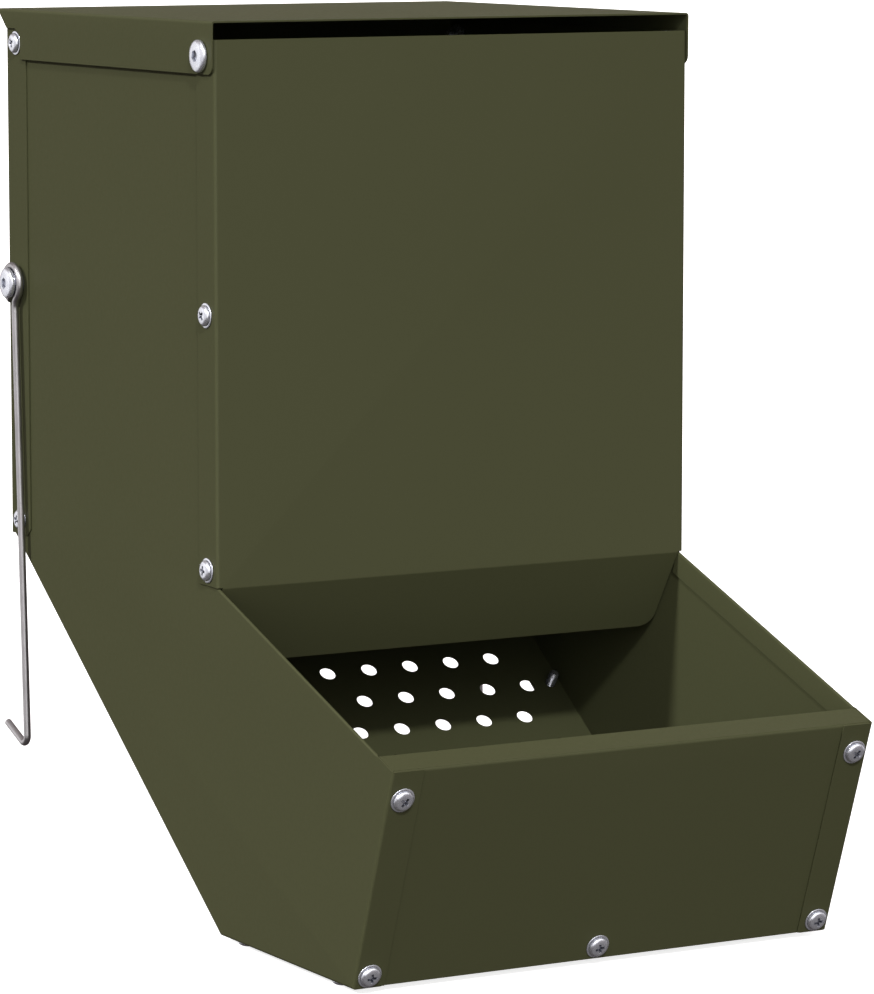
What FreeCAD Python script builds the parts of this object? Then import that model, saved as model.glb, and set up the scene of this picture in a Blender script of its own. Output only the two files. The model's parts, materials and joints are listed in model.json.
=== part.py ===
import FreeCAD, Part
import math
import os

# Sheet-metal rabbit feeder. Millimetres; X to the viewer's right, the front faces -Y, +Z up.
# Heights are counted from the underside of the base; ORIGIN_Z then sets the frame's origin
# at the middle of the front panel's face.

# Sheet
T = 0.6  # sheet thickness
BEND = 0.6  # inside bend radius
FIT = 0.1  # paint gap between sheets that lie together
OUTER = BEND + T  # outside bend radius
EDGE_GAP = 0.2  # raw edge to the sheet beside it
MITRE_GAP = 0.15  # each flange back from the mitre's middle line
OVERLAP = 1.0  # length shared by pieces of one sheet before they are fused

# Hopper
WIDTH = 200.0  # over the side flanges of the front and back panels
DEPTH = 178.0  # front panel face to back panel face
KNEE_Z = 128.3  # height where the hopper meets the lower body
LID_TOP = 333.7  # top face of the lid, the feeder's full height
FRONT_TOP = LID_TOP - T - 6.1  # top edge of the front panel, a slit below the lid
SIDE_TOP = FRONT_TOP - 0.2  # top edge of the side panels, hidden behind the front panel
BACK_TOP = LID_TOP - T - 0.3  # top edge of the back panel, where the lid rests
FRONT_FLANGE = 14.5
BACK_FLANGE = 17.5
FLANGE_CHAMFER = 3.0
FLANGE_LIFT = 0.3  # front flanges above the knee
BAFFLE_BACK = 19.5  # baffle's lower edge behind the front panel's face
BAFFLE_Z = 97.5  # height of the baffle's lower edge
BAFFLE_GAP = 1.0  # baffle to side panel
BAFFLE_CORNER = 6.0

# Lower body
HEEL_Y = 0.8  # rear end of the flat base
RIM_REACH = 129.8  # trough rim in front of the front panel
RIM_ANGLE = 19.6  # slope of the trough rim in degrees; the trough front stands square to it
RIM_Z = 127.9  # rim line where it crosses the front panel's face
REAR_FOLD = 13.5  # inward flanges of the side panels
BASE_FOLD = 11.5
TOE_FOLD = 12.7
HEM = 9.0
HEM_GAP = 0.1
LIP = 11.0  # inward lip of the trough front
LIP_GAP = 0.6  # lip's rear edge to the hem
NOTCH_GAP = 0.8  # trough front's notches past the base flanges
PAN_UPTURN = 13.0
PAN_UPSTAND = 14.0

# Perforated slope
HOLE_D = 6.4
HOLE_PITCH = WIDTH * 0.0925
ROW_PITCH = 16.5
ROW_FIRST = 59.2  # first row, along the slope from the heel
ROWS = 7
ROW_HOLES = 9  # holes in an odd row; the rows between have one more

# Lid
LID_GAP = 0.4  # lid skirt to side flange
LID_TAIL = 5.2  # lid past the back panel
SKIRT = 19.3
SKIRT_CORNER = 3.5
NOTCH_R = 5.6  # skirt's round notch over a rear screw

# Fasteners
M4_HEAD_D = 7.6
M4_HEAD_H = 1.8
M4_RIM = 0.7  # straight edge of the head below its dome
M4_D = 3.9
M4_LEN = 8.0
M4_WASHER_D = 9.2
M4_WASHER_T = 0.5
M4_NUT_AF = 7.0
M4_NUT_H = 3.2
M4_HOLE = 4.5
M6_HEAD_D = 11.8
M6_HEAD_H = 2.2
M6_RIM = 1.1
M6_D = 5.9
M6_NUT_AF = 10.0
M6_NUT_H = 5.0
M6_HOLE = 6.5
THREAD_GAP = 0.1  # screw to the plain bore of its nut, washer or threaded sheet
M4_BORE = M4_D + 2 * THREAD_GAP
M6_BORE = M6_D + 2 * THREAD_GAP

# Pivots
LID_PIVOT_Y = 9.0
LID_PIVOT_Z = LID_TOP - 12.7
LID_BUSH_D = 9.0
LID_SCREW_LEN = 12.0
RUNNING = 0.05  # radial clearance of a pivot
HEAD_PLAY = 0.3  # room between a moving piece and what holds it sideways
HOOK_BUSH_D = 10.6
HOOK_SCREW_LEN = 14.0
HOOK_WASHER_D = 10.8
HOOK_WASHER_T = 1.0
HOOK_PLAY = 0.2  # hook's eye to the washer and to the head

# Hooks
WIRE = 2.8
EYE_OFFSET = 1.7  # rod in front of the eye's centre
EYE_NECK = 6.0  # radius of the neck between eye and rod
EYE_END = 288.0  # where the eye's wire ends, in degrees
HOOK_BEND = 3.2
HOOK_TURN = 115.0
HOOK_TIP = 14.6
HOOK_CLEAR = 0.45  # hook's end past the head of the lower front screw
HOOK_REST = 0.5  # hanging rod to the head of the lower back screw

# Screw places
FRONT_SCREW_Y = 7.5
BACK_SCREW_Y = DEPTH - 9.0
LOW_SCREW_Z = KNEE_Z + 6.0
TOP_SCREW_Z = LID_TOP - 13.1
MID_SCREW_Z = (LOW_SCREW_Z + TOP_SCREW_Z) / 2
FLANGE_SCREW_X = WIDTH / 2 - 6.5  # trough and floor screws
TOE_SCREW_LOW = 5.1  # along the trough front from its foot
TOE_SCREW_DOWN = 11.2  # upper trough screws, down from the rim
BASE_SCREW_X = WIDTH / 2 - 7.0
BASE_SCREW_IN = 11.0  # rear base screws, in front of the heel
TOE_SCREW_IN = 18.4  # front base screws, behind the toe
FLOOR_SCREW_RUN = 108.5  # along the slope from the heel

# Derived places
ORIGIN_Z = (KNEE_Z + FRONT_TOP) / 2
SIDE_X = WIDTH / 2 - T - FIT  # outer face of a side panel
INNER_X = SIDE_X - T  # inner face of a side panel
REAR_Y = DEPTH - T - FIT  # rear face of the floor pan's upstand
REAR_EDGE = DEPTH - OUTER - FIT  # rear edge of a side panel, clear of the back panel's bends
EDGE_Y = OUTER + FIT  # front edge of a side panel, clear of the front panel's bends
REACH = INNER_X - BEND - FIT  # half width of sheets that lie on the side panels' flanges
FLANGE_Z = KNEE_Z + FLANGE_LIFT
BACK_Z = KNEE_Z + FIT  # lower edge of the back panel
HEM_R = T + HEM_GAP / 2
SLOPE = math.tan(math.radians(RIM_ANGLE))
STACK = T + FIT  # one sheet and its paint gap
LIP_END = STACK + LIP  # lip's rear edge, along the rim from its tip
HEM_START = LIP_END + LIP_GAP
FAR = 600.0

KNEE = (REAR_Y, KNEE_Z)
HEEL = (HEEL_Y, 0.0)
RIM_TIP = (-RIM_REACH, RIM_Z - RIM_REACH * SLOPE)
TOE = (-RIM_REACH + RIM_TIP[1] * SLOPE, 0.0)
RIM_END = (EDGE_Y, RIM_Z + EDGE_Y * SLOPE)
TOE_SCREW_HIGH = math.hypot(TOE[0] - RIM_TIP[0], RIM_TIP[1]) - TOE_SCREW_DOWN
BASE_SCREW_REAR = HEEL_Y - BASE_SCREW_IN
BASE_SCREW_FRONT = TOE[0] + TOE_SCREW_IN
EYE_R = HOOK_BUSH_D / 2 + RUNNING + WIRE / 2
HOOK_PIVOT_Z = MID_SCREW_Z
HOOK_SPAN = math.hypot(BACK_SCREW_Y - FRONT_SCREW_Y, HOOK_PIVOT_Z - LOW_SCREW_Z)
HOOK_DROP = HOOK_SPAN - M4_HEAD_D / 2 - WIRE / 2 - HOOK_CLEAR  # eye to the wire's lowest middle point
HOOK_ASIDE = M4_HEAD_D / 2 + HOOK_REST + WIRE / 2 - EYE_OFFSET
HOOK_LEAN = math.degrees(math.asin(HOOK_ASIDE / (HOOK_PIVOT_Z - LOW_SCREW_Z)))
HOOK_HEAD_X = WIDTH / 2 + HOOK_WASHER_T + WIRE + 2 * HOOK_PLAY
HOOK_X = WIDTH / 2 + HOOK_WASHER_T + WIRE / 2 + HOOK_PLAY
LID_HEAD_X = WIDTH / 2 + LID_GAP + T + HEAD_PLAY


def vec(x, y, z):
    return FreeCAD.Vector(x, y, z)


def unit(p, q):
    length = math.hypot(q[0] - p[0], q[1] - p[1])
    return ((q[0] - p[0]) / length, (q[1] - p[1]) / length)


def inward(p, q):
    d = unit(p, q)
    return (d[1], -d[0])


def along(p, q, run, inset=0.0):
    d = unit(p, q)
    n = inward(p, q)
    return (p[0] + d[0] * run + n[0] * inset, p[1] + d[1] * run + n[1] * inset)


def shifted(p, q, inset):
    n = inward(p, q)
    first = (p[0] + n[0] * inset, p[1] + n[1] * inset)
    return (first, (q[0] + n[0] * inset, q[1] + n[1] * inset))


def meet(one, two):
    (a, b), (c, d) = one, two
    u = (b[0] - a[0], b[1] - a[1])
    v = (d[0] - c[0], d[1] - c[1])
    k = ((c[0] - a[0]) * v[1] - (c[1] - a[1]) * v[0]) / (u[0] * v[1] - u[1] * v[0])
    return (a[0] + u[0] * k, a[1] + u[1] * k)


def inset_outline(points, insets):
    count = len(points)
    lines = [shifted(points[i], points[(i + 1) % count], insets[i]) for i in range(count)]
    return [meet(lines[i - 1], lines[i]) for i in range(count)]


def block(x0, x1, y0, y1, z0, z1):
    return Part.makeBox(x1 - x0, y1 - y0, z1 - z0, vec(x0, y0, z0))


def prism(points, x0, x1):
    wire = Part.makePolygon([vec(x0, y, z) for y, z in points + points[:1]])
    return Part.Face(wire).extrude(vec(x1 - x0, 0, 0))


def strip(path, put, run, radius=BEND):
    """Sheet bent along a middle line given in a plane; put maps the plane into space."""
    mid = radius + T / 2
    count = len(path)
    dirs = [unit(path[i], path[i + 1]) for i in range(count - 1)]
    cuts = [0.0] * count
    turns = [0.0] * count
    for i in range(1, count - 1):
        a, b = dirs[i - 1], dirs[i]
        turns[i] = math.atan2(a[0] * b[1] - a[1] * b[0], a[0] * b[0] + a[1] * b[1])
        cuts[i] = mid * math.tan(abs(turns[i]) / 2)
    sides = []
    for side in (1, -1):
        edges = []
        for i in range(count - 1):
            d = dirs[i]
            n = (-d[1] * side * T / 2, d[0] * side * T / 2)
            start = (path[i][0] + d[0] * cuts[i] + n[0], path[i][1] + d[1] * cuts[i] + n[1])
            back = cuts[i + 1]
            end = (path[i + 1][0] - d[0] * back + n[0], path[i + 1][1] - d[1] * back + n[1])
            edges.append(("line", start, end))
            if i < count - 2:
                sign = 1 if turns[i + 1] > 0 else -1
                corner = path[i + 1]
                hub = (corner[0] - d[0] * cuts[i + 1] - d[1] * sign * mid,
                       corner[1] - d[1] * cuts[i + 1] + d[0] * sign * mid)
                r = mid - side * sign * T / 2
                w = unit(hub, corner)
                e = dirs[i + 1]
                m = (-e[1] * side * T / 2, e[0] * side * T / 2)
                stop = (corner[0] + e[0] * back + m[0], corner[1] + e[1] * back + m[1])
                edges.append(("arc", end, (hub[0] + w[0] * r, hub[1] + w[1] * r), stop))
        sides.append(edges)
    shapes = []
    for edge in sides[0] + sides[1]:
        pts = [put(p[0], p[1]) for p in edge[1:]]
        curve = Part.LineSegment(*pts) if edge[0] == "line" else Part.Arc(*pts)
        shapes.append(curve.toShape())
    for end, pick in ((0, 1), (-1, -1)):
        a = sides[0][end][pick]
        b = sides[1][end][pick]
        shapes.append(Part.LineSegment(put(*a), put(*b)).toShape())
    wire = Part.Wire(Part.__sortEdges__(shapes))
    return Part.Face(wire).extrude(run)


def bent_sheet(path, x0, x1):
    return strip(path, lambda y, z: vec(x0, y, z), vec(x1 - x0, 0, 0))


def channel(path, z0, z1):
    return strip(path, lambda x, y: vec(x, y, z0), vec(0, 0, z1 - z0))


def aligned(shape, place, axis):
    out = shape.copy()
    out.Placement = FreeCAD.Placement(place, FreeCAD.Rotation(vec(0, 0, 1), axis))
    return out


def drill(place, axis, diameter, depth=6.0):
    hole = Part.makeCylinder(diameter / 2, 2 * depth, vec(0, 0, -depth))
    return aligned(hole, place, axis)


def mirrored(shape):
    return shape.mirror(vec(0, 0, 0), vec(1, 0, 0))


def joined(first, rest):
    return first.fuse(rest).removeSplitter()


def trimmed(shape, place, direction, away):
    """Cut off what lies on the away side of a line through place in the side view."""
    (y, z), (a, b), (c, d) = place, direction, away
    quad = [(y + a * FAR, z + b * FAR), (y - a * FAR, z - b * FAR),
            (y - (a - c) * FAR, z - (b - d) * FAR), (y + (a + c) * FAR, z + (b + d) * FAR)]
    return shape.cut(prism(quad, -FAR, FAR))


def fold(p, q, reach):
    """Flange bent inwards from a side panel along the edge from p to q."""
    d = unit(p, q)
    n = inward(p, q)
    path = [(OUTER + OVERLAP, T / 2), (T / 2, T / 2), (T / 2, reach)]
    put = lambda a, b: vec(SIDE_X - b, p[0] + n[0] * a, p[1] + n[1] * a)
    length = math.hypot(q[0] - p[0], q[1] - p[1])
    return strip(path, put, vec(0, d[0] * length, d[1] * length))


def mitred(shape, corner, before, after, keep_before):
    """Trim a fold at a corner on the line that halves the angle, with a small slit."""
    one = shifted(before, corner, OUTER)
    two = shifted(corner, after, OUTER)
    half = unit(corner, meet(one, two))
    d = unit(before, corner) if keep_before else unit(after, corner)
    place = (corner[0] - d[0] * MITRE_GAP, corner[1] - d[1] * MITRE_GAP)
    side = 1 if (d[0] * half[1] - d[1] * half[0]) > 0 else -1
    away = (half[1] * side, -half[0] * side)
    return trimmed(shape, place, half, away)


def hem():
    """Flat hem turned inwards along the trough rim."""
    n = inward(RIM_TIP, RIM_END)
    start = along(RIM_TIP, RIM_END, HEM_START)
    put = lambda a, b: vec(SIDE_X - b, start[0] + n[0] * a, start[1] + n[1] * a)
    r = HEM_R
    shapes = [Part.Arc(put(r, 0), put(0, r), put(r, 2 * r)).toShape()]
    shapes.append(Part.LineSegment(put(r, 2 * r), put(HEM, 2 * r)).toShape())
    shapes.append(Part.LineSegment(put(HEM, 2 * r), put(HEM, 2 * r - T)).toShape())
    shapes.append(Part.LineSegment(put(HEM, 2 * r - T), put(r, 2 * r - T)).toShape())
    shapes.append(Part.Arc(put(r, 2 * r - T), put(T, r), put(r, T)).toShape())
    shapes.append(Part.LineSegment(put(r, T), put(r, 0)).toShape())
    face = Part.Face(Part.Wire(shapes))
    return face.extrude(vec(0, RIM_END[0] - start[0], RIM_END[1] - start[1]))


def side_panel():
    """Right side panel: plate, three mitred flanges and the rim's hem, with corner reliefs."""
    knee = meet((KNEE, HEEL), ((REAR_EDGE, 0.0), (REAR_EDGE, 1.0)))
    top = [(EDGE_Y, SIDE_TOP), (REAR_EDGE, SIDE_TOP)]
    outline = top + [knee, HEEL, TOE, RIM_TIP, RIM_END]
    plate = prism(inset_outline(outline, [0, 0, OUTER, OUTER, OUTER, HEM_R, 0]), INNER_X, SIDE_X)
    rear = mitred(fold(KNEE, HEEL, REAR_FOLD), HEEL, KNEE, TOE, True)
    base = fold(HEEL, TOE, BASE_FOLD)
    base = mitred(base, HEEL, KNEE, TOE, False)
    base = mitred(base, TOE, HEEL, RIM_TIP, True)
    toe = mitred(fold(TOE, RIM_TIP, TOE_FOLD), TOE, HEEL, RIM_TIP, False)
    a = along(RIM_TIP, RIM_END, OUTER)
    b = along(RIM_TIP, RIM_END, HEM_START)
    c = along(RIM_TIP, RIM_END, HEM_START, HEM_R + OVERLAP)
    d = along(RIM_TIP, RIM_END, OUTER, HEM_R + OVERLAP)
    edge = prism([a, b, c, d], INNER_X, SIDE_X)
    panel = joined(plate, [rear, base, toe, edge, hem()])
    return panel.cut(side_holes())


def side_holes():
    x = vec(1, 0, 0)
    holes = [drill(vec(SIDE_X, y, z), x, M4_HOLE) for y, z in front_places() + back_places()]
    holes.append(drill(vec(SIDE_X, LID_PIVOT_Y, LID_PIVOT_Z), x, M6_HOLE))
    holes.append(drill(vec(SIDE_X, BACK_SCREW_Y, HOOK_PIVOT_Z), x, M6_HOLE))
    for place, axis in fold_screws() + toe_screws():
        if place.x > 1:
            holes.append(drill(place, axis, M4_HOLE, 4.0))
    return holes


def front_places():
    return [(FRONT_SCREW_Y, LOW_SCREW_Z), (FRONT_SCREW_Y, MID_SCREW_Z)]


def back_places():
    return [(BACK_SCREW_Y, LOW_SCREW_Z), (BACK_SCREW_Y, TOP_SCREW_Z)]


def base_screws():
    out = []
    for side in (-1, 1):
        for y in (BASE_SCREW_REAR, BASE_SCREW_FRONT):
            out.append((vec(side * BASE_SCREW_X, y, 0), vec(0, 0, -1)))
    return out


def floor_screws():
    y, z = along(HEEL, KNEE, FLOOR_SCREW_RUN)
    n = inward(KNEE, HEEL)
    return [(vec(side * FLANGE_SCREW_X, y, z), vec(0, -n[0], -n[1])) for side in (-1, 1)]


def fold_screws():
    return base_screws() + floor_screws()


def toe_screws():
    """Places on the outer face of the front flanges, then the middle one on the trough front."""
    n = inward(TOE, RIM_TIP)
    axis = vec(0, -n[0], -n[1])
    out = []
    for side in (-1, 1):
        for run in (TOE_SCREW_LOW, TOE_SCREW_HIGH):
            y, z = along(TOE, RIM_TIP, run)
            out.append((vec(side * FLANGE_SCREW_X, y, z), axis))
    y, z = along(TOE, RIM_TIP, TOE_SCREW_LOW, STACK)
    out.append((vec(0, y, z), axis))
    return out


def front_panel():
    """Hopper front: channel with flanges outside the side panels, and the bent baffle."""
    half = WIDTH / 2 - T / 2
    path = [(-half, FRONT_FLANGE), (-half, T / 2), (half, T / 2), (half, FRONT_FLANGE)]
    panel = channel(path, FLANGE_Z, FRONT_TOP)
    reach = INNER_X - BAFFLE_GAP
    baffle = bent_sheet([(T / 2, KNEE_Z + 20.0), (T / 2, KNEE_Z), (BAFFLE_BACK, BAFFLE_Z)], -reach, reach)
    low = []
    for edge in baffle.Edges:
        mid = edge.CenterOfMass
        if abs(edge.Length - T) < 0.01 and abs(abs(mid.x) - reach) < 0.01 and mid.z < KNEE_Z - 10:
            low.append(edge)
    baffle = baffle.makeFillet(BAFFLE_CORNER, low)
    panel = joined(panel, [baffle])
    holes = []
    for side in (-1, 1):
        for y, z in front_places():
            holes.append(drill(vec(side * WIDTH / 2, y, z), vec(1, 0, 0), M4_HOLE))
        holes.append(drill(vec(side * WIDTH / 2, LID_PIVOT_Y, LID_PIVOT_Z), vec(1, 0, 0), M6_HOLE))
    return panel.cut(holes)


def back_panel():
    """Hopper back: channel with flanges outside the side panels."""
    half = WIDTH / 2 - T / 2
    y = DEPTH - T / 2
    tip = DEPTH - BACK_FLANGE
    panel = channel([(-half, tip), (-half, y), (half, y), (half, tip)], BACK_Z, BACK_TOP)
    c = FLANGE_CHAMFER
    low = BACK_Z
    corner = [(tip - 1, low - 1), (tip + c, low - 1), (tip + c, low), (tip, low + c), (tip - 1, low + c)]
    panel = panel.cut(prism(corner, -FAR, FAR))
    holes = []
    for side in (-1, 1):
        for y, z in back_places():
            holes.append(drill(vec(side * WIDTH / 2, y, z), vec(1, 0, 0), M4_HOLE))
        holes.append(drill(vec(side * WIDTH / 2, BACK_SCREW_Y, HOOK_PIVOT_Z), vec(1, 0, 0), M6_HOLE))
    return panel.cut(holes)


def perforations():
    n = inward(KNEE, HEEL)
    holes = []
    for row in range(ROWS):
        y, z = along(HEEL, KNEE, ROW_FIRST + row * ROW_PITCH)
        count = ROW_HOLES + row % 2
        for i in range(count):
            x = (i - (count - 1) / 2) * HOLE_PITCH
            holes.append(drill(vec(x, y, z), vec(0, n[0], n[1]), HOLE_D, 5.0))
    return holes


def floor_pan():
    """Perforated slope, flat bottom, upturned front edge and upstand at the back, in one sheet."""
    slope = shifted(KNEE, HEEL, STACK + T / 2)
    base = shifted(HEEL, TOE, STACK + T / 2)
    front = shifted(TOE, RIM_TIP, 2 * STACK + T / 2)
    wall = ((REAR_Y - T / 2, 0.0), (REAR_Y - T / 2, 1.0))
    head = meet(wall, slope)
    toe = meet(base, front)
    tip = along(toe, front[1], PAN_UPTURN)
    path = [(head[0], head[1] + PAN_UPSTAND), head, meet(slope, base), toe, tip]
    pan = bent_sheet(path, -REACH, REACH)
    holes = perforations()
    for place, axis in base_screws():
        holes.append(drill(place, axis, M4_HOLE, 4.0))
    for place, axis in floor_screws():
        holes.append(drill(place, axis, M4_BORE, 4.0))
    for place, axis in toe_screws():
        if place.z < 20:
            holes.append(drill(place, axis, M4_HOLE, 5.0))
    return pan.cut(holes)


def trough_front():
    """Leaning front plate with an inward lip from wall to wall, notched over the base flanges."""
    face = shifted(TOE, RIM_TIP, STACK + T / 2)
    rim = shifted(RIM_TIP, RIM_END, T / 2)
    foot = meet(face, ((0.0, EDGE_GAP), (1.0, EDGE_GAP)))
    corner = meet(face, rim)
    path = [foot, corner, along(corner, rim[1], LIP - T / 2)]
    plate = bent_sheet(path, -REACH, REACH)
    runs = [(OUTER + FIT, 0.0), (LIP_END, 0.0), (LIP_END, T), (OUTER + FIT, T)]
    lip = prism([along(RIM_TIP, RIM_END, run, inset) for run, inset in runs], FIT - INNER_X, INNER_X - FIT)
    plate = joined(plate, [lip])
    cuts = []
    for side in (-1, 1):
        a, b = sorted((side * (SIDE_X - BASE_FOLD - NOTCH_GAP), side * WIDTH))
        cuts.append(block(a, b, TOE[0] - 20, TOE[0] + 20, -5, STACK + EDGE_GAP))
    for place, axis in toe_screws():
        cuts.append(drill(place, axis, M4_HOLE, 5.0))
    return plate.cut(cuts)


def lid():
    """Top plate and two side skirts, with round notches over the rear screws and pivot holes in front."""
    half = WIDTH / 2 + LID_GAP + T / 2
    top = LID_TOP - T / 2
    low = LID_TOP - SKIRT
    tail = DEPTH + LID_TAIL
    path = [(-half, low - 5), (-half, top), (half, top), (half, low - 5)]
    body = strip(path, lambda x, z: vec(x, 0, z), vec(0, tail, 0))
    r = SKIRT_CORNER
    cut = r * (1 - math.cos(math.pi / 4))
    diagonal = NOTCH_R * math.cos(math.pi / 4)
    notch = BACK_SCREW_Y - NOTCH_R
    under = TOP_SCREW_Z + NOTCH_R
    slant = tail - (LID_TOP - under)
    put = lambda y, z: vec(-FAR, y, z)
    line = lambda a, b: Part.LineSegment(put(*a), put(*b)).toShape()
    arc = lambda a, b, c: Part.Arc(put(*a), put(*b), put(*c)).toShape()
    shapes = [line((0, LID_TOP), (0, low + r)), arc((0, low + r), (cut, low + cut), (r, low))]
    shapes.append(line((r, low), (notch, low)))
    shapes.append(line((notch, low), (notch, TOP_SCREW_Z)))
    half_way = (BACK_SCREW_Y - diagonal, TOP_SCREW_Z + diagonal)
    shapes.append(arc((notch, TOP_SCREW_Z), half_way, (BACK_SCREW_Y, under)))
    pts = [(BACK_SCREW_Y, under), (slant, under), (tail, LID_TOP - T), (tail, LID_TOP), (0, LID_TOP)]
    shapes = shapes + [line(a, b) for a, b in zip(pts, pts[1:])]
    mask = Part.Face(Part.Wire(shapes)).extrude(vec(2 * FAR, 0, 0))
    body = body.common(mask)
    bore = LID_BUSH_D + 2 * RUNNING
    x = WIDTH / 2
    holes = [drill(vec(side * x, LID_PIVOT_Y, LID_PIVOT_Z), vec(1, 0, 0), bore) for side in (-1, 1)]
    return body.cut(holes)


def hook():
    """Right hook: eye, neck, straight rod and upturned tip, one wire along tangent arcs."""
    r = EYE_R
    e = EYE_NECK
    y0 = -EYE_OFFSET
    drop = math.sqrt((r + e) ** 2 - (EYE_OFFSET + e) ** 2)
    hub = (y0 - e, -drop)
    out = unit((0, 0), hub)
    touch = (out[0] * r, out[1] * r)
    end = math.radians(EYE_END)
    first = (r * math.cos(end), r * math.sin(end))
    put = lambda p: vec(HOOK_X, p[0], p[1])
    w = unit(hub, ((touch[0] + y0) / 2, (touch[1] - drop) / 2))
    bend = HOOK_BEND
    low = -HOOK_DROP + bend
    turn = math.radians(HOOK_TURN)
    centre = (y0 + bend, low)
    mid = (centre[0] - bend * math.cos(turn / 2), centre[1] - bend * math.sin(turn / 2))
    stop = (centre[0] - bend * math.cos(turn), centre[1] - bend * math.sin(turn))
    tip = (stop[0] + HOOK_TIP * math.sin(turn), stop[1] - HOOK_TIP * math.cos(turn))
    shapes = [Part.Arc(put(first), put((0.0, r)), put(touch)).toShape()]
    neck = (hub[0] + w[0] * e, hub[1] + w[1] * e)
    shapes.append(Part.Arc(put(touch), put(neck), put((y0, -drop))).toShape())
    shapes.append(Part.LineSegment(put((y0, -drop)), put((y0, low))).toShape())
    shapes.append(Part.Arc(put((y0, low)), put(mid), put(stop)).toShape())
    shapes.append(Part.LineSegment(put(stop), put(tip)).toShape())
    path = Part.Wire(shapes)
    tangent = vec(0, -math.sin(end), math.cos(end))
    ring = Part.Wire(Part.makeCircle(WIRE / 2, put(first), tangent))
    wire = path.makePipeShell([ring], True, True)
    wire.rotate(vec(0, 0, 0), vec(1, 0, 0), -HOOK_LEAN)
    wire.translate(vec(0, BACK_SCREW_Y, HOOK_PIVOT_Z))
    return wire


def headed(head_d, head_h, rim, shank_d, length):
    """Domed head standing on the origin with its shank below it."""
    r = head_d / 2
    dome = (r * r + (head_h - rim) ** 2) / (2 * (head_h - rim))
    mid = (r / 2, head_h - dome + math.sqrt(dome * dome - r * r / 4))
    shapes = [Part.LineSegment(vec(0, 0, 0), vec(r, 0, 0)).toShape()]
    shapes.append(Part.LineSegment(vec(r, 0, 0), vec(r, 0, rim)).toShape())
    shapes.append(Part.Arc(vec(r, 0, rim), vec(mid[0], 0, mid[1]), vec(0, 0, head_h)).toShape())
    shapes.append(Part.LineSegment(vec(0, 0, head_h), vec(0, 0, 0)).toShape())
    head = Part.Face(Part.Wire(shapes)).revolve(vec(0, 0, 0), vec(0, 0, 1), 360)
    shank = Part.makeCylinder(shank_d / 2, length + 0.5, vec(0, 0, -length))
    return head.fuse(shank).removeSplitter()


def ring(inner, outer, height):
    tube = Part.makeCylinder(outer / 2, height)
    return tube.cut(Part.makeCylinder(inner / 2, height + 2, vec(0, 0, -1)))


def nut(across, bore, height):
    r = across / math.sqrt(3)
    turns = [math.radians(60 * i + 30) for i in range(7)]  # flats face the nearest wall
    pts = [vec(r * math.cos(a), r * math.sin(a), -height) for a in turns]
    prism_nut = Part.Face(Part.makePolygon(pts)).extrude(vec(0, 0, height))
    return prism_nut.cut(Part.makeCylinder(bore / 2, height + 2, vec(0, 0, -height - 1)))


def fastened(places, sheets):
    """Screws, washers and nuts at the given places; a stack of no sheets stands for a threaded hole."""
    screws = []
    washers = []
    nuts = []
    for (place, axis), deep in zip(places, sheets):
        head = place + axis * M4_WASHER_T
        screws.append(aligned(headed(M4_HEAD_D, M4_HEAD_H, M4_RIM, M4_D, M4_LEN), head, axis))
        washers.append(aligned(ring(M4_BORE, M4_WASHER_D, M4_WASHER_T), place, axis))
        if deep:
            nuts.append(aligned(nut(M4_NUT_AF, M4_BORE, M4_NUT_H), place - axis * deep, axis))
    return screws, washers, nuts


def sideways(points):
    out = []
    for side in (-1, 1):
        for y, z in points:
            out.append((vec(side * WIDTH / 2, y, z), vec(side, 0, 0)))
    return out


def pivots(y, z, head_x, length, bush_d, bush_x):
    screws = []
    bushes = []
    nuts = []
    for side in (-1, 1):
        axis = vec(side, 0, 0)
        screw = headed(M6_HEAD_D, M6_HEAD_H, M6_RIM, M6_D, length)
        screws.append(aligned(screw, vec(side * head_x, y, z), axis))
        bush = ring(M6_BORE, bush_d, head_x - bush_x)
        bushes.append(aligned(bush, vec(side * bush_x, y, z), axis))
        hexagon = nut(M6_NUT_AF, M6_BORE, M6_NUT_H)
        nuts.append(aligned(hexagon, vec(side * INNER_X, y, z), axis))
    return screws, bushes, nuts


def export(name, shapes):
    shape = shapes[0] if len(shapes) == 1 else Part.Compound(shapes)
    shape = shape.copy()
    shape.translate(vec(0, 0, -ORIGIN_Z))
    solids = shape.Solids
    if not solids or not all(s.isValid() and s.Volume > 0 for s in solids):
        raise ValueError("bad solid in " + name)
    if len(shapes) != len(solids):
        raise ValueError(name + " has " + str(len(solids)) + " solids for " + str(len(shapes)))
    shape.exportStep("parts/" + name + ".step")
    box = shape.BoundBox
    print(name, len(solids), "solids", round(shape.Volume, 1), "mm3",
          [round(v, 2) for v in (box.XMin, box.XMax, box.YMin, box.YMax, box.ZMin, box.ZMax)])


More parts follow.
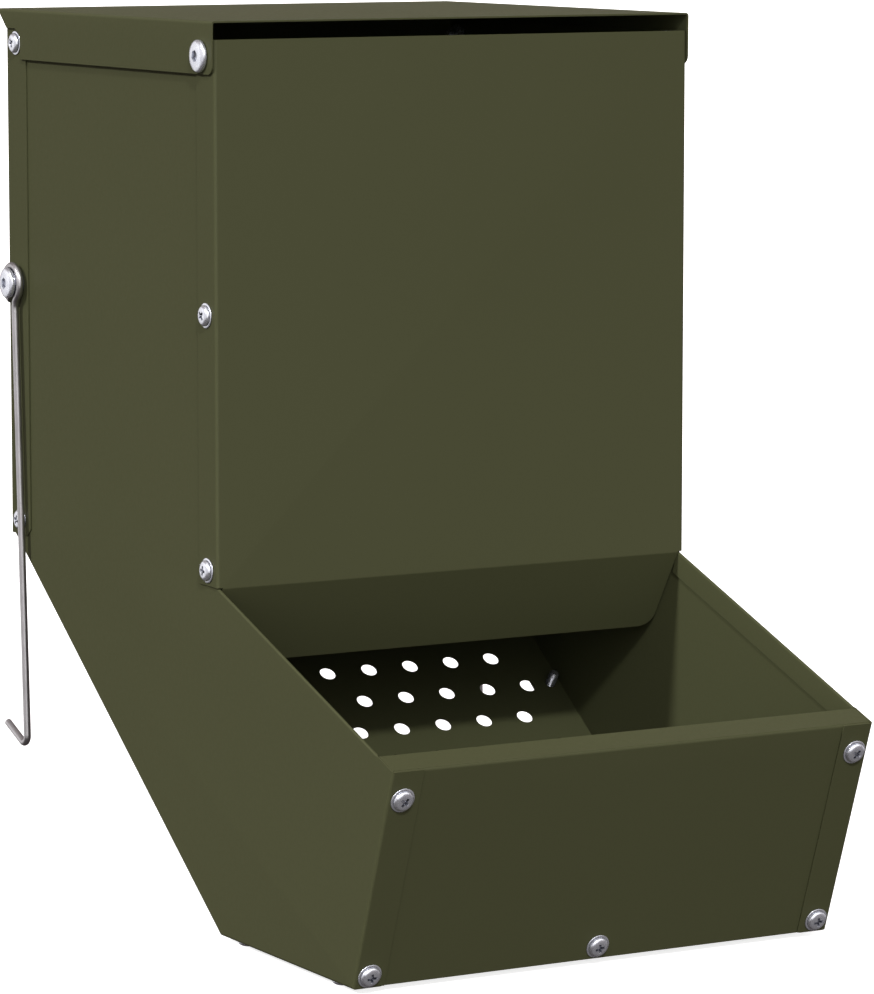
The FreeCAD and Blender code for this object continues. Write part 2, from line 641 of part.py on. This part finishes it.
def main():
    os.makedirs("parts", exist_ok=True)
    panel = side_panel()
    export("right_side_panel", [panel])
    export("left_side_panel", [mirrored(panel)])
    export("front_panel", [front_panel()])
    export("back_panel", [back_panel()])
    export("floor_pan", [floor_pan()])
    export("trough_front", [trough_front()])
    export("lid", [lid()])
    wire = hook()
    export("right_hook", [wire])
    export("left_hook", [mirrored(wire)])
    two = 2 * T + FIT
    three = 3 * T + 2 * FIT
    toe_stack = [three, two, three, two, two]
    groups = {
        "front": fastened(sideways(front_places()), [two] * 4),
        "back": fastened(sideways(back_places()), [two] * 4),
        "trough": fastened(toe_screws(), toe_stack),
        "base": fastened(base_screws(), [two] * 4),
        "floor": fastened(floor_screws(), [0, 0]),
    }
    for name, (screws, washers, nuts) in groups.items():
        export(name + "_screws", screws)
        export(name + "_washers", washers)
        if nuts:
            export(name + "_nuts", nuts)
    flange = WIDTH / 2
    screws, bushes, nuts = pivots(LID_PIVOT_Y, LID_PIVOT_Z, LID_HEAD_X, LID_SCREW_LEN, LID_BUSH_D, flange)
    export("lid_pivot_screws", screws)
    export("lid_pivot_bushes", bushes)
    export("lid_pivot_nuts", nuts)
    seat = flange + HOOK_WASHER_T
    screws, bushes, nuts = pivots(BACK_SCREW_Y, HOOK_PIVOT_Z, HOOK_HEAD_X, HOOK_SCREW_LEN, HOOK_BUSH_D, seat)
    export("hook_pivot_screws", screws)
    export("hook_pivot_bushes", bushes)
    export("hook_pivot_nuts", nuts)
    washers = [aligned(ring(M6_BORE, HOOK_WASHER_D, HOOK_WASHER_T),
                       vec(side * flange, BACK_SCREW_Y, HOOK_PIVOT_Z), vec(side, 0, 0)) for side in (-1, 1)]
    export("hook_pivot_washers", washers)


main()
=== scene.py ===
import json
import math

import bmesh
import bpy
from mathutils import Matrix, Vector

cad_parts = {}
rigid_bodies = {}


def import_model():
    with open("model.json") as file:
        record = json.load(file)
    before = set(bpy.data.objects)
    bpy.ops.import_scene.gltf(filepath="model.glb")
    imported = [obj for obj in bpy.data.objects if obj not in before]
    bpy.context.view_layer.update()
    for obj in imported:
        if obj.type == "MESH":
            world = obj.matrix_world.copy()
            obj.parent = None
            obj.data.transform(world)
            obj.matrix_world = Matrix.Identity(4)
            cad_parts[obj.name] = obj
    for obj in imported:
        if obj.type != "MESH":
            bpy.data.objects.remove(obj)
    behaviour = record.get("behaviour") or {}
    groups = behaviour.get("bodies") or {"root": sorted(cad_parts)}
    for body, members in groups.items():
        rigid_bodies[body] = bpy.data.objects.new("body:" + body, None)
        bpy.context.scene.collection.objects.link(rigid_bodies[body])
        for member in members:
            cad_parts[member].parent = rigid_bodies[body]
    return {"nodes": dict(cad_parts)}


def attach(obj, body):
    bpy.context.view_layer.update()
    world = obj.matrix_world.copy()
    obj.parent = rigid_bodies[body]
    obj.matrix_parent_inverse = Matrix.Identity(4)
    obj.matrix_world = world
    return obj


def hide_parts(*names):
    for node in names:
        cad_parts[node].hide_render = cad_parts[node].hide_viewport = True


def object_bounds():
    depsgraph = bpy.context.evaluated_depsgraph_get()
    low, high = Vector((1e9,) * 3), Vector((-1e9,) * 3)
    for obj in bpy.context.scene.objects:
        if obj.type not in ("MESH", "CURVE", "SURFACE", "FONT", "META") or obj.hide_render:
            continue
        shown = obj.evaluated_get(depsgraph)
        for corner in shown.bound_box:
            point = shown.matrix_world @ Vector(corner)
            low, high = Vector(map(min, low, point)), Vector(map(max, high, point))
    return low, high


# Rabbit feeder in its finished looks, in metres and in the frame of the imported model. Sheets and
# fasteners are redrawn over their solids with the detail that paint, threads and recesses need;
# the two hooks keep their solids.

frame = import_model()
cad_box = [list(corner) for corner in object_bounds()]
nodes = frame["nodes"]
scene = bpy.context.scene
MM = 0.001
SLIVER = 2e-6  # metres; shorter edges are left over from cutting and bevelling

# Fastener sizes in millimetres, the same as the solids'
M4_HEAD, M4_HEIGHT, M4_SHANK, M4_LENGTH = 7.6, 1.8, 3.9, 8.0
M6_HEAD, M6_HEIGHT, M6_SHANK = 11.8, 2.2, 5.9
LID_SCREW_LENGTH, HOOK_SCREW_LENGTH = 12.0, 14.0
M4_BORE, M6_BORE = 4.1, 6.1
M4_WASHER_D, M4_WASHER_T = 9.2, 0.5
M4_NUT_ACROSS, M4_NUT_HEIGHT = 7.0, 3.2
M6_NUT_ACROSS, M6_NUT_HEIGHT = 10.0, 5.0
LID_BUSH_D, LID_BUSH_LENGTH = 9.0, 1.3
HOOK_BUSH_D, HOOK_BUSH_LENGTH = 10.6, 3.2
HOOK_WASHER_D, HOOK_WASHER_T = 10.8, 1.0

# Details that only the scene has, in millimetres
M4_PITCH, M6_PITCH = 0.7, 1.0  # threads
M4_RIM, M6_RIM = 0.5, 1.0  # straight part of the heads' edges
CROSS_FLOOR, CROSS_TOP = 0.7, M4_HEIGHT + 0.5  # cross recess, from its floor up to above the head
SOCKET = 4.0  # hexagon socket across its flats
SOCKET_FLOOR = 1.1

# Sheet edges
EDGE_ROUND = 0.14 * MM  # how far paint rounds a cut edge
SHORT_EDGE = 0.35 * MM  # edges too short to round
FLAT = math.radians(0.4)  # faces closer than this are one face
CUT = math.radians(55)  # edges sharper than this are cut edges

# Directions in which the screws point their heads
RIM_ANGLE = math.radians(19.6)
FLOOR_ANGLE = math.radians(36.01)
HEADS = {
    "trough": Vector((0, -math.cos(RIM_ANGLE), -math.sin(RIM_ANGLE))),
    "base": Vector((0, 0, -1)),
    "floor": Vector((0, math.sin(FLOOR_ANGLE), -math.cos(FLOOR_ANGLE))),
}


# Materials

def new_material(name):
    """Empty node material, with its tree, its shader and the object's own coordinates."""
    mat = bpy.data.materials.new(name)
    mat.use_nodes = True
    tree = mat.node_tree
    shader = tree.nodes["Principled BSDF"]
    coords = tree.nodes.new("ShaderNodeTexCoord")
    return mat, tree, shader, coords.outputs["Object"]


def noise(tree, coords, scale, detail=2.0, rough=0.5, stretch=None):
    """Noise of so many cycles per metre, or per metre of each stretched axis."""
    node = tree.nodes.new("ShaderNodeTexNoise")
    node.inputs["Scale"].default_value = scale
    node.inputs["Detail"].default_value = detail
    node.inputs["Roughness"].default_value = rough
    if stretch:
        mapping = tree.nodes.new("ShaderNodeMapping")
        mapping.inputs["Scale"].default_value = stretch
        tree.links.new(coords, mapping.inputs["Vector"])
        coords = mapping.outputs["Vector"]
    tree.links.new(coords, node.inputs["Vector"])
    return node.outputs["Fac"]


def ramp(tree, value, stops):
    """Colour from a value through (place, colour) stops."""
    node = tree.nodes.new("ShaderNodeValToRGB")
    band = node.color_ramp
    band.elements[0].position, band.elements[0].color = stops[0][0], (*stops[0][1], 1)
    band.elements[1].position, band.elements[1].color = stops[-1][0], (*stops[-1][1], 1)
    for place, colour in stops[1:-1]:
        band.elements.new(place).color = (*colour, 1)
    tree.links.new(value, node.inputs["Fac"])
    return node.outputs["Color"]


def spread(tree, value, low, high, start=0.3, stop=0.7):
    """Value from start to stop drawn out to low to high."""
    node = tree.nodes.new("ShaderNodeMapRange")
    node.inputs["From Min"].default_value = start
    node.inputs["From Max"].default_value = stop
    node.inputs["To Min"].default_value = low
    node.inputs["To Max"].default_value = high
    tree.links.new(value, node.inputs["Value"])
    return node.outputs["Result"]


def multiplied(tree, one, two):
    """Product of two colours."""
    node = tree.nodes.new("ShaderNodeMix")
    node.data_type = "RGBA"
    node.blend_type = "MULTIPLY"
    node.inputs[0].default_value = 1.0
    tree.links.new(one, node.inputs[6])
    tree.links.new(two, node.inputs[7])
    return node.outputs[2]


def crevice(tree, reach):
    """Share of the sky that a point sees within a short reach, 0 deep in a recess."""
    node = tree.nodes.new("ShaderNodeAmbientOcclusion")
    node.samples = 8
    node.inputs["Distance"].default_value = reach
    return node.outputs["AO"]


def bump(tree, shader, height, strength, distance):
    node = tree.nodes.new("ShaderNodeBump")
    node.inputs["Strength"].default_value = strength
    node.inputs["Distance"].default_value = distance
    tree.links.new(height, node.inputs["Height"])
    tree.links.new(node.outputs["Normal"], shader.inputs["Normal"])


def paint_material():
    """Smooth olive powder coat: faint mottling, fine speckle, orange peel."""
    mat, tree, shader, xyz = new_material("olive_powder_coat")
    broad = noise(tree, xyz, 9.0, 2.0)
    fine = noise(tree, xyz, 1700.0, 2.0)
    peel = noise(tree, xyz, 700.0, 2.0, 0.45)
    base = ramp(tree, broad, [(0.30, (0.0725, 0.0770, 0.0366)), (0.70, (0.0745, 0.0790, 0.0378))])
    speck = ramp(tree, fine, [(0.34, (0.97, 0.97, 0.97)), (0.66, (1.0, 1.0, 1.0))])
    tree.links.new(multiplied(tree, base, speck), shader.inputs["Base Color"])
    tree.links.new(spread(tree, peel, 0.52, 0.60), shader.inputs["Roughness"])
    shader.inputs["Specular IOR Level"].default_value = 0.12
    bump(tree, shader, peel, 0.05, 0.0002)
    return mat


def zinc_material():
    """Bright zinc plate with a faint crystalline mottling, and painted shade that darkens its colour
    in recesses and gaps.
    """
    mat, tree, shader, xyz = new_material("bright_zinc")
    cloud = noise(tree, xyz, 420.0, 3.0, 0.6)
    grain = noise(tree, xyz, 2600.0, 2.0)
    base = ramp(tree, cloud, [(0.3, (0.64, 0.66, 0.73)), (0.7, (0.78, 0.80, 0.86))])
    # painted shade: the base colour darkens where ambient occlusion finds the cross recess, the socket
    # and the gaps under heads and washers
    painted_shade = ramp(tree, crevice(tree, 0.0015), [(0.42, (0.20, 0.20, 0.23)), (0.82, (1.0, 1.0, 1.0))])
    tree.links.new(multiplied(tree, base, painted_shade), shader.inputs["Base Color"])
    tree.links.new(spread(tree, grain, 0.20, 0.34), shader.inputs["Roughness"])
    shader.inputs["Metallic"].default_value = 0.88
    bump(tree, shader, grain, 0.08, 0.00008)
    return mat


def wire_material():
    """Drawn steel wire with fine streaks along its length."""
    mat, tree, shader, xyz = new_material("drawn_wire")
    streak = noise(tree, xyz, 1.0, 3.0, 0.6, (3200.0, 3200.0, 60.0))
    cloud = noise(tree, xyz, 90.0, 2.0)
    base = ramp(tree, cloud, [(0.3, (0.42, 0.41, 0.42)), (0.7, (0.50, 0.49, 0.50))])
    tint = ramp(tree, streak, [(0.3, (0.82, 0.82, 0.83)), (0.7, (1.0, 1.0, 1.0))])
    tree.links.new(multiplied(tree, base, tint), shader.inputs["Base Color"])
    tree.links.new(spread(tree, streak, 0.30, 0.46), shader.inputs["Roughness"])
    shader.inputs["Metallic"].default_value = 1.0
    bump(tree, shader, streak, 0.12, 0.00006)
    return mat


PAINT = paint_material()
ZINC = zinc_material()
WIRE = wire_material()


# Mesh helpers

def new_piece(name, mesh, body, replaced, material):
    """Object that rides on a body in place of a CAD node."""
    piece = bpy.data.objects.new(name, mesh)
    scene.collection.objects.link(piece)
    mesh.materials.clear()
    mesh.materials.append(material)
    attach(piece, body)
    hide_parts(replaced)
    return piece


def smooth(mesh, degrees):
    """Smooth shading with edges over the angle left sharp."""
    for face in mesh.polygons:
        face.use_smooth = True
    mesh.set_sharp_from_angle(angle=math.radians(degrees))


def lathe(profile, steps):
    """Closed mesh from (radius, height) points turned about Z; points at radius 0 close an end."""
    bm = bmesh.new()
    rings = []
    for r, z in profile:
        if r == 0:
            rings.append([bm.verts.new((0, 0, z * MM))])
        else:
            turns = [2 * math.pi * i / steps for i in range(steps)]
            ring = [Vector((r * math.cos(a), r * math.sin(a), z)) * MM for a in turns]
            rings.append([bm.verts.new(place) for place in ring])
    pairs = list(zip(rings, rings[1:]))
    if profile[0][0] != 0:
        pairs.append((rings[-1], rings[0]))
    for a, b in pairs:
        for i in range(steps):
            j = (i + 1) % steps
            if len(a) == 1:
                bm.faces.new((a[0], b[j], b[i]))
            elif len(b) == 1:
                bm.faces.new((a[i], a[j], b[0]))
            else:
                bm.faces.new((a[i], a[j], b[j], b[i]))
    bmesh.ops.recalc_face_normals(bm, faces=bm.faces)
    mesh = bpy.data.meshes.new("lathe")
    bm.to_mesh(mesh)
    bm.free()
    return mesh


def frustum(bottom, top, low, high):
    """Closed solid between two outlines of (x, y) points with the same count."""
    bm = bmesh.new()
    a = [bm.verts.new((x * MM, y * MM, low * MM)) for x, y in bottom]
    b = [bm.verts.new((x * MM, y * MM, high * MM)) for x, y in top]
    count = len(a)
    bm.faces.new(a)
    bm.faces.new(b)
    for i in range(count):
        j = (i + 1) % count
        bm.faces.new((a[i], a[j], b[j], b[i]))
    bmesh.ops.recalc_face_normals(bm, faces=bm.faces)
    mesh = bpy.data.meshes.new("frustum")
    bm.to_mesh(mesh)
    bm.free()
    return mesh


def carved(mesh, cutters, operation="DIFFERENCE"):
    """The mesh after exact booleans with each cutter in turn."""
    body = bpy.data.objects.new("carve_body", mesh)
    scene.collection.objects.link(body)
    helpers = []
    for cutter in cutters:
        helper = bpy.data.objects.new("carve_tool", cutter)
        scene.collection.objects.link(helper)
        helpers.append(helper)
        cut = body.modifiers.new("cut", "BOOLEAN")
        cut.operation = operation
        cut.solver = "EXACT"
        cut.object = helper
    view = bpy.context.evaluated_depsgraph_get()
    view.update()
    result = bpy.data.meshes.new_from_object(body.evaluated_get(view))
    for item in [body] + helpers:
        bpy.data.objects.remove(item)
    bm = bmesh.new()
    bm.from_mesh(result)
    bmesh.ops.dissolve_degenerate(bm, dist=SLIVER, edges=bm.edges)
    bm.to_mesh(result)
    bm.free()
    return result


def oblong(length, width):
    a, b = length / 2, width / 2
    return [(-a, -b), (a, -b), (a, b), (-a, b)]


def hexagon(across):
    r = across / math.sqrt(3)
    turns = [math.radians(60 * i + 30) for i in range(6)]
    return [(r * math.cos(t), r * math.sin(t)) for t in turns]


def merged(parts):
    """One mesh from (mesh, matrix) pairs."""
    bm = bmesh.new()
    for mesh, matrix in parts:
        first = len(bm.verts)
        bm.from_mesh(mesh)
        bm.verts.ensure_lookup_table()
        bmesh.ops.transform(bm, matrix=matrix, verts=bm.verts[first:])
    out = bpy.data.meshes.new("merged")
    bm.to_mesh(out)
    bm.free()
    return out


# Fasteners

def thread(radius, pitch, start, stop, tip):
    """Threaded shank from height start down to stop, tapered at its end."""
    steps = 28
    rows = int((start - stop) / pitch * 8)
    depth = pitch * 0.5
    flat = 0.12  # share of a half turn at the crest and at the root
    taper = 0.20  # share of the radius lost at the tip
    bm = bmesh.new()
    rings = []
    for k in range(rows + 1):
        z = start + (stop - start) * k / rows
        ease = min(1.0, (z - stop) / tip)
        ring = []
        for i in range(steps):
            turn = i / steps
            phase = (z / pitch + turn) % 1.0
            wave = abs(2 * phase - 1)
            wave = min(max((wave - flat) / (1 - 2 * flat), 0.0), 1.0)
            r = (radius - depth * wave) * (1 - taper + taper * ease)
            a = 2 * math.pi * turn
            ring.append(bm.verts.new((r * MM * math.cos(a), r * MM * math.sin(a), z * MM)))
        rings.append(ring)
    for a, b in zip(rings, rings[1:]):
        for i in range(steps):
            j = (i + 1) % steps
            bm.faces.new((a[i], b[i], b[j], a[j]))
    bm.faces.new(rings[-1][::-1])
    bm.faces.new(rings[0])
    bmesh.ops.recalc_face_normals(bm, faces=bm.faces)
    mesh = bpy.data.meshes.new("thread")
    bm.to_mesh(mesh)
    bm.free()
    return mesh


def domed(radius, height, rim, crown, shoulder):
    """Head outline from the underside's middle to the top's; a larger crown is flatter on top."""
    edge = 0.15
    steps = 12
    pts = [(0, 0), (radius - edge, 0), (radius, edge), (radius, rim)]
    for i in range(1, steps):
        share = math.cos(math.pi / 2 * i / steps)
        rise = (1 - share ** crown) ** shoulder
        pts.append((radius * share, rim + (height - rim) * rise))
    return pts + [(0, height)]


def pan_screw():
    """Cross-recess pan-head screw, underside of the head at the origin."""
    head = lathe(domed(M4_HEAD / 2, M4_HEIGHT, M4_RIM, 3.4, 0.54), 48)
    slots = []
    for turn in (0, 90):
        wedge = frustum(oblong(2.7, 0.75), oblong(4.2, 1.1), CROSS_FLOOR, CROSS_TOP)
        wedge.transform(Matrix.Rotation(math.radians(turn), 4, "Z"))
        slots.append(wedge)
    centre = lathe([(0, 0.35), (0.7, 0.6), (1.15, CROSS_TOP), (0, CROSS_TOP)], 16)
    head = carved(head, slots + [centre])
    smooth(head, 32)
    shank = thread(M4_SHANK / 2, M4_PITCH, 0.02, -M4_LENGTH, M4_PITCH)
    smooth(shank, 60)
    return merged([(head, Matrix()), (shank, Matrix())])


def dome_screw(length):
    """Hex-socket dome screw, underside of the head at the origin."""
    head = lathe(domed(M6_HEAD / 2, M6_HEIGHT, M6_RIM, 3.2, 0.6), 64)
    socket = frustum(hexagon(SOCKET - 0.1), hexagon(SOCKET), SOCKET_FLOOR, M6_HEIGHT + 1.0)
    low, high = SOCKET_FLOOR - 0.4, SOCKET_FLOOR + 0.3
    point = lathe([(0, low), (1.9, SOCKET_FLOOR + 0.05), (1.9, high), (0, high)], 24)
    head = carved(head, [socket, point])
    smooth(head, 32)
    shank = thread(M6_SHANK / 2, M6_PITCH, 0.02, -length, M6_PITCH)
    smooth(shank, 60)
    return merged([(head, Matrix()), (shank, Matrix())])


def collar(inner, outer, height, edge):
    """Washer or bush standing on the origin, its edges broken."""
    pts = [(inner + edge, 0), (outer - edge, 0), (outer, edge), (outer, height - edge)]
    pts = pts + [(outer - edge, height), (inner + edge, height), (inner, height - edge), (inner, edge)]
    mesh = lathe(pts, 48)
    smooth(mesh, 50)
    return mesh


def hex_nut(across, bore, height):
    """Chamfered hexagon nut hanging below the origin."""
    block = frustum(hexagon(across), hexagon(across), -height, 0)
    corner = across / math.sqrt(3) + 0.3
    face = across / 2 * 0.96
    rise = (corner - face) * math.tan(math.radians(30))
    past = 0.001
    drum = lathe([(0, past), (face, past), (corner, -rise), (corner, rise - height),
                  (face, -height - past), (0, -height - past)], 48)
    body = carved(block, [drum], "INTERSECT")
    lead = 0.45
    mouth = bore + lead
    hole = lathe([(0, 1), (mouth, 1), (mouth, 0), (bore, -lead), (bore, lead - height),
                  (mouth, -height), (mouth, -height - 1), (0, -height - 1)], 32)
    body = carved(body, [hole])
    smooth(body, 32)
    return body


def islands(name):
    """Vertex places of each separate solid of a CAD node."""
    bm = bmesh.new()
    bm.from_mesh(nodes[name].data)
    bmesh.ops.remove_doubles(bm, verts=bm.verts, dist=1e-6)
    bm.verts.ensure_lookup_table()
    seen = set()
    groups = []
    for vert in bm.verts:
        if vert.index in seen:
            continue
        seen.add(vert.index)
        stack = [vert]
        group = []
        while stack:
            item = stack.pop()
            group.append(item.co.copy())
            for edge in item.link_edges:
                other = edge.other_vert(item)
                if other.index not in seen:
                    seen.add(other.index)
                    stack.append(other)
        groups.append(group)
    bm.free()
    return groups


def seat(group, axis, end, offset, roll):
    """Matrix that puts a local +Z piece on the axis of a CAD solid, measured from one of its ends."""
    runs = [p.dot(axis) for p in group]
    run = (max(runs) if end == "top" else min(runs)) + offset * MM
    side = Vector((1, 0, 0)) if abs(axis.x) < 0.5 else Vector((0, 1, 0))
    up = axis.cross(side)
    turn = Matrix((side, up, axis)).transposed().to_4x4()
    flat = [((p - axis * p.dot(axis)).dot(side), (p - axis * p.dot(axis)).dot(up)) for p in group]
    a = (min(f[0] for f in flat) + max(f[0] for f in flat)) / 2
    b = (min(f[1] for f in flat) + max(f[1] for f in flat)) / 2
    place = side * a + up * b + axis * run
    return Matrix.Translation(place) @ turn @ Matrix.Rotation(math.radians(roll), 4, "Z")


def axis_of(kind, group):
    """Direction in which a fastener's head points."""
    if kind in ("front", "back", "pivot"):
        x = sum(p.x for p in group)
        return Vector((1 if x > 0 else -1, 0, 0))
    return HEADS[kind]


def fasten(node, kind, mesh, end, offset, rolled):
    """Detailed fasteners in the places of a node's solids; rolled ones are each turned differently."""
    parts = []
    for i, group in enumerate(islands(node)):
        roll = (17 + 47 * i + 13 * len(node)) % 180 if rolled else 0
        parts.append((mesh, seat(group, axis_of(kind, group), end, offset, roll)))
    new_piece(node + "_detailed", merged(parts), "frame", node, ZINC)


PAN = pan_screw()
M4_WASHER = collar(M4_BORE / 2, M4_WASHER_D / 2, M4_WASHER_T, 0.12)
M4_NUT = hex_nut(M4_NUT_ACROSS, M4_BORE / 2, M4_NUT_HEIGHT)
M6_NUT = hex_nut(M6_NUT_ACROSS, M6_BORE / 2, M6_NUT_HEIGHT)
LID_BUSH = collar(M6_BORE / 2, LID_BUSH_D / 2, LID_BUSH_LENGTH, 0.1)
HOOK_BUSH = collar(M6_BORE / 2, HOOK_BUSH_D / 2, HOOK_BUSH_LENGTH, 0.15)
HOOK_WASHER = collar(M6_BORE / 2, HOOK_WASHER_D / 2, HOOK_WASHER_T, 0.16)
for kind in ("front", "back", "trough", "base", "floor"):
    fasten(kind + "_screws", kind, PAN, "top", -M4_HEIGHT, True)
    fasten(kind + "_washers", kind, M4_WASHER, "low", 0, False)
    if kind + "_nuts" in nodes:
        fasten(kind + "_nuts", kind, M4_NUT, "top", 0, False)
fasten("lid_pivot_screws", "pivot", dome_screw(LID_SCREW_LENGTH), "top", -M6_HEIGHT, True)
fasten("lid_pivot_bushes", "pivot", LID_BUSH, "low", 0, False)
fasten("lid_pivot_nuts", "pivot", M6_NUT, "top", 0, True)
fasten("hook_pivot_screws", "pivot", dome_screw(HOOK_SCREW_LENGTH), "top", -M6_HEIGHT, True)
fasten("hook_pivot_bushes", "pivot", HOOK_BUSH, "low", 0, False)
fasten("hook_pivot_nuts", "pivot", M6_NUT, "top", 0, True)
fasten("hook_pivot_washers", "pivot", HOOK_WASHER, "low", 0, False)


# Sheet parts

def rounded_sheet(name, body):
    """Copy of a sheet part with its cut edges broken as paint rounds them."""
    bm = bmesh.new()
    bm.from_mesh(nodes[name].data)
    bmesh.ops.remove_doubles(bm, verts=bm.verts, dist=1e-6)
    bmesh.ops.dissolve_limit(bm, angle_limit=FLAT, verts=bm.verts, edges=bm.edges)
    layer = bm.edges.layers.float.new("bevel_weight_edge")
    for edge in bm.edges:
        if len(edge.link_faces) != 2 or not edge.is_convex or edge.calc_length() < SHORT_EDGE:
            continue
        if edge.calc_face_angle(0) > CUT:
            edge[layer] = 1.0
    mesh = bpy.data.meshes.new(name + "_sheet")
    bm.to_mesh(mesh)
    bm.free()
    for extra in ("custom_normal", "sharp_edge", "sharp_face"):
        if extra in mesh.attributes:
            mesh.attributes.remove(mesh.attributes[extra])
    smooth(mesh, 50)
    piece = new_piece(name + "_painted", mesh, body, name, PAINT)
    bevel = piece.modifiers.new("edge", "BEVEL")
    bevel.limit_method = "WEIGHT"
    bevel.width = EDGE_ROUND
    bevel.segments = 2
    bevel.use_clamp_overlap = False
    bevel.harden_normals = True
    weld = piece.modifiers.new("slivers", "WELD")
    weld.merge_threshold = SLIVER


FRAME_SHEETS = ("left_side_panel", "right_side_panel", "front_panel",
                "back_panel", "floor_pan", "trough_front")
for name in FRAME_SHEETS:
    rounded_sheet(name, "frame")
rounded_sheet("lid", "lid")

for name in ("left_hook", "right_hook"):
    nodes[name].data.materials.clear()
    nodes[name].data.materials.append(WIRE)


# Floor, light and camera

def floor_material():
    """Plain pale floor with a faint glow."""
    mat, tree, shader, xyz = new_material("pale_floor")
    tone = ramp(tree, noise(tree, xyz, 3.0), [(0.3, (0.92, 0.92, 0.92)), (0.7, (0.94, 0.94, 0.94))])
    tree.links.new(tone, shader.inputs["Base Color"])
    shader.inputs["Roughness"].default_value = 0.9
    shader.inputs["Specular IOR Level"].default_value = 0.1
    shader.inputs["Emission Color"].default_value = (1.0, 1.0, 1.0, 1.0)
    shader.inputs["Emission Strength"].default_value = 0.8
    return mat


def make_floor():
    """Floor under the lowest solid, bright to the camera but not to the feeder's own bounces."""
    size = 60.0
    low = cad_box[0][2]
    mesh = bpy.data.meshes.new("floor")
    corners = [(-size, -size, low), (size, -size, low), (size, size, low), (-size, size, low)]
    mesh.from_pydata(corners, [], [(0, 1, 2, 3)])
    floor = bpy.data.objects.new("floor", mesh)
    scene.collection.objects.link(floor)
    mesh.materials.append(floor_material())
    floor.visible_diffuse = False
    floor.visible_glossy = False
    floor.visible_shadow = False


def sun(name, towards, strength, angle, shine=True):
    """Wide, far softbox that lights every part of a face alike; without shine it leaves no gloss."""
    lamp = bpy.data.lights.new(name, "SUN")
    lamp.energy = strength
    lamp.angle = math.radians(angle)
    item = bpy.data.objects.new(name, lamp)
    item.rotation_euler = Vector(towards).to_track_quat("Z", "Y").to_euler()
    item.visible_glossy = shine
    scene.collection.objects.link(item)


def softbox(name, place, width, height, glow, lit):
    """Large panel that faces the feeder and is seen only in the bright metal."""
    lamp = bpy.data.lights.new(name, "AREA")
    lamp.shape = "RECTANGLE"
    lamp.size = width
    lamp.size_y = height
    lamp.energy = glow * math.pi * width * height
    item = bpy.data.objects.new(name, lamp)
    item.location = place
    item.rotation_euler = Vector(place).to_track_quat("Z", "Y").to_euler()
    item.visible_camera = False
    item.light_linking.receiver_collection = lit
    scene.collection.objects.link(item)


def bright_metal(name, *unlit):
    """Collection of the screws, washers, nuts, bushes and hooks, without those named as unlit."""
    group = bpy.data.collections.new(name)
    for item in scene.objects:
        if item.type == "MESH" and item.active_material in (ZINC, WIRE) and item.name not in unlit:
            group.objects.link(item)
    return group


def make_world():
    """Dim, slightly warm surroundings, brighter towards the zenith."""
    world = bpy.data.worlds.new("studio")
    scene.world = world
    world.use_nodes = True
    tree = world.node_tree
    back = tree.nodes["Background"]
    coords = tree.nodes.new("ShaderNodeTexCoord")
    split = tree.nodes.new("ShaderNodeSeparateXYZ")
    tree.links.new(coords.outputs["Generated"], split.inputs["Vector"])
    height = spread(tree, split.outputs["Z"], 0.0, 1.0, -1.0, 1.0)
    floor, horizon, sky_side, zenith = 0.06, 0.15, 0.20, 0.28
    warm = [(0.25, floor), (0.48, horizon), (0.60, sky_side), (0.90, zenith)]
    sky = ramp(tree, height, [(place, (tone * 1.18, tone, tone * 0.98)) for place, tone in warm])
    tree.links.new(sky, back.inputs["Color"])


def make_camera():
    """Camera fitted to the sheet edges in the photograph, without shift."""
    image_height, focal_length = 994.0, 4916.6  # pixels
    data = bpy.data.cameras.new("camera")
    data.sensor_width = 36.0
    data.lens = data.sensor_width * focal_length / image_height
    camera = bpy.data.objects.new("camera", data)
    scene.collection.objects.link(camera)
    camera.location = (-0.9021, -1.5747, 0.16285)
    yaw, pitch = math.radians(29.58), math.radians(7.37)
    look = Vector((math.sin(yaw) * math.cos(pitch), math.cos(yaw) * math.cos(pitch), -math.sin(pitch)))
    camera.rotation_euler = look.to_track_quat("-Z", "Y").to_euler()
    data.clip_end = 200.0
    scene.camera = camera


make_floor()
make_world()
sun("left", (-0.82, -0.04, 0.57), 1.95, 5.0)
sun("front", (-0.285, -0.755, 0.59), 1.38, 4.0)
sun("fill", (-0.40, -0.87, 0.29), 1.15, 62.0)
sun("back", (0.63, 0.76, 0.12), 2.0, 40.0, False)
metal = bright_metal("bright_metal")
lit_from_right = bright_metal("lit_from_right", "left_hook")
softbox("overhead", (0.0, -0.6, 2.2), 4.0, 3.0, 0.9, metal)
softbox("left_panel", (-2.4, 0.3, 0.3), 4.0, 2.4, 0.66, metal)
softbox("back_left_panel", (-1.5, 2.6, -0.1), 2.4, 2.4, 0.85, metal)
softbox("front_panel_light", (0.9, -2.3, 1.5), 4.4, 2.0, 1.1, lit_from_right)
softbox("right_panel", (2.3, 0.9, 0.4), 3.6, 2.2, 0.6, lit_from_right)
softbox("bounce", (0.9, -1.2, -1.4), 4.0, 3.0, 0.08, lit_from_right)
make_camera()
scene.view_settings.view_transform = "Standard"
